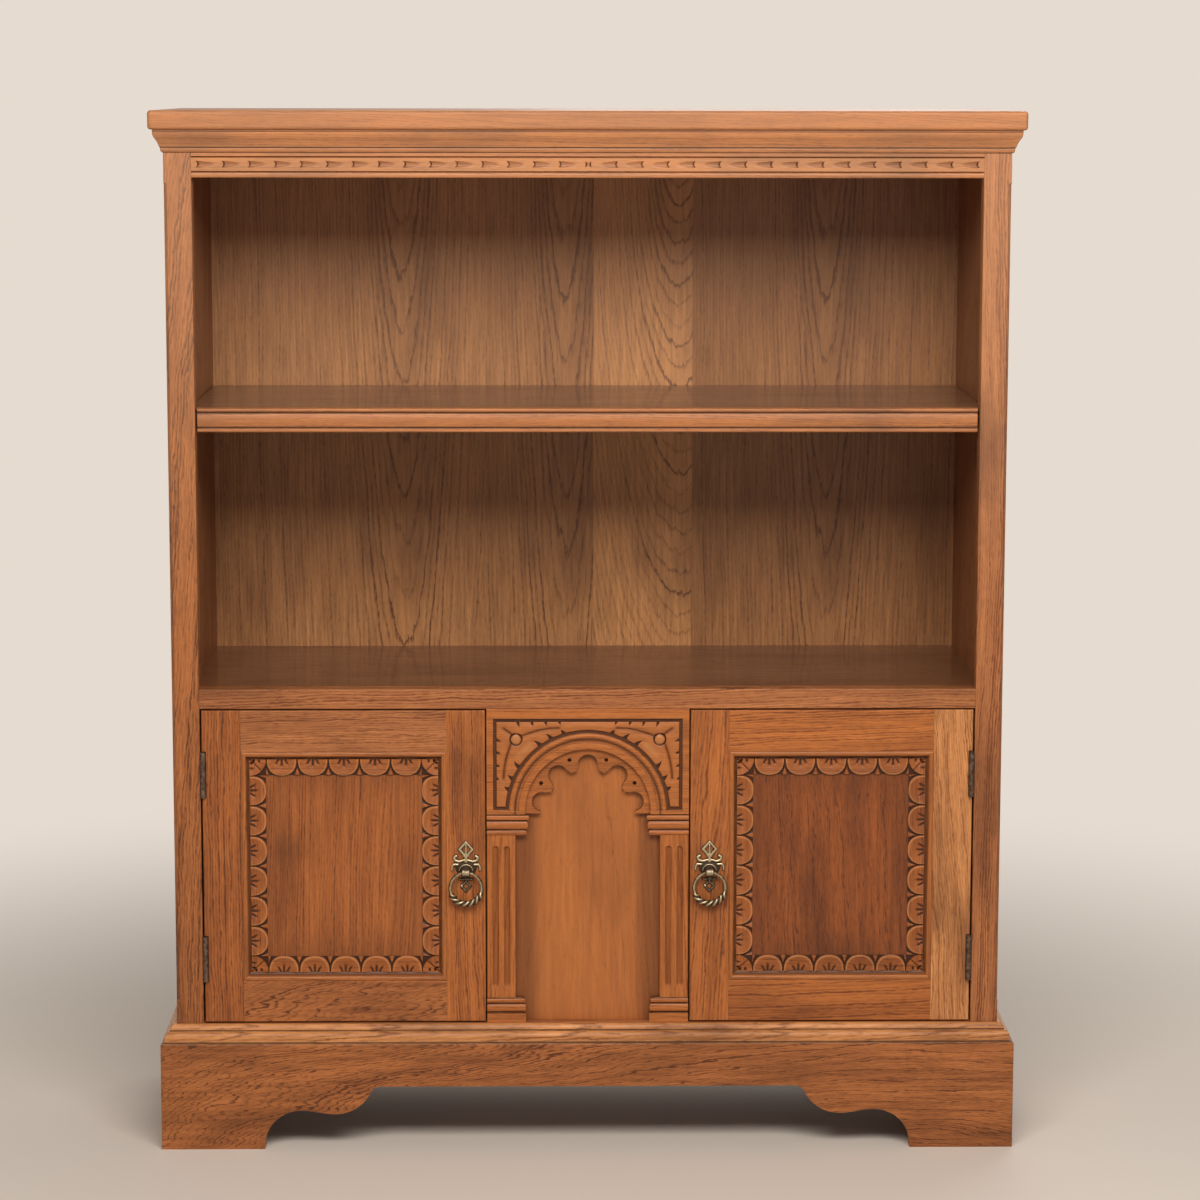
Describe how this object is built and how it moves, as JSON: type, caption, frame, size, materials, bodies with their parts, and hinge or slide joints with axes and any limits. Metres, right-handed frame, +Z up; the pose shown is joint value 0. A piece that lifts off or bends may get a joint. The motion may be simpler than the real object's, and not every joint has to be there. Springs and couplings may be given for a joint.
{
  "type": "oak bookcase cabinet",
  "caption": "Oak bookcase with open shelf bays over a cupboard, panelled doors with carved borders and ring pulls, an arched centre panel and bracket feet.",
  "frame": {"origin": "on the floor, in the middle of the footprint", "axes": "+Z up, +X to the right seen from the front, +Y from front to back"},
  "size_m": [0.95, 0.33, 1.149],
  "materials": {
    "oak_front": "satin varnished oak",
    "oak_panel": "satin darker oak",
    "oak_inner": "satin oak veneer",
    "pull_brass": "antique brass",
    "hinge_metal": "dark bronzed",
    "steel": "plated",
    "catch_plastic": "matt brown"
  },
  "bodies": {
    "carcass": {"top_board": "oak_front", "cornice_front": "oak_front", "cornice_returns": "oak_front", "frieze_rail": "oak_front", "shelf_lipping": "oak_front", "deck_rail": "oak_front", "base_rail": "oak_front", "base_moulding_front": "oak_front", "base_moulding_returns": "oak_front", "plinth_front": "oak_front", "centre_field": "oak_front", "arch_head": "oak_front", "arch_tracery": "oak_front", "pilaster_capitals": "oak_front", "pilaster_bases": "oak_front", "back_panel": "oak_inner", "middle_shelf": "oak_inner", "deck_board": "oak_inner", "floor_board": "oak_inner", "plinth_back": "oak_inner", "corner_blocks": "oak_inner", "centre_posts": "oak_inner", "shelf_studs": "steel", "hinge_frame_leaves": "hinge_metal", "hinge_pins": "hinge_metal", "door_catches": "catch_plastic", "left_side_panel": "oak_front", "left_front_stile": "oak_front", "left_plinth": "oak_front", "left_pilaster": "oak_front", "right_side_panel": "oak_front", "right_front_stile": "oak_front", "right_plinth": "oak_front", "right_pilaster": "oak_front"},
    "left_door": {"left_hinge_stile": "oak_front", "left_lock_stile": "oak_front", "left_top_rail": "oak_front", "left_bottom_rail": "oak_front", "left_door_panel": "oak_panel", "left_panel_bead": "oak_front", "left_carved_border": "oak_panel", "left_door_hinge_leaves": "hinge_metal", "left_pull_plate": "pull_brass", "left_pull_post": "pull_brass", "left_catch_strike": "steel"},
    "left_ring": {"left_ring_pull": "pull_brass"},
    "right_door": {"right_hinge_stile": "oak_front", "right_lock_stile": "oak_front", "right_top_rail": "oak_front", "right_bottom_rail": "oak_front", "right_door_panel": "oak_panel", "right_panel_bead": "oak_front", "right_carved_border": "oak_panel", "right_door_hinge_leaves": "hinge_metal", "right_pull_plate": "pull_brass", "right_pull_post": "pull_brass", "right_catch_strike": "steel"},
    "right_ring": {"right_ring_pull": "pull_brass"}
  },
  "joints": [
    {"name": "left_door_swing", "type": "hinge", "parent": "carcass", "child": "left_door", "pos_m": [-0.4247, -0.149, 0.31775], "axis": [0, 0, -1], "range_deg": [0, 170]},
    {"name": "left_ring_swing", "type": "hinge", "parent": "left_door", "child": "left_ring", "pos_m": [-0.1351, -0.1565, 0.313], "axis": [-1, 0, 0], "range_deg": [-6, 150]},
    {"name": "right_door_swing", "type": "hinge", "parent": "carcass", "child": "right_door", "pos_m": [0.4247, -0.149, 0.31775], "axis": [0, 0, 1], "range_deg": [0, 170]},
    {"name": "right_ring_swing", "type": "hinge", "parent": "right_door", "child": "right_ring", "pos_m": [0.1351, -0.1565, 0.313], "axis": [-1, 0, 0], "range_deg": [-6, 150]}
  ]
}
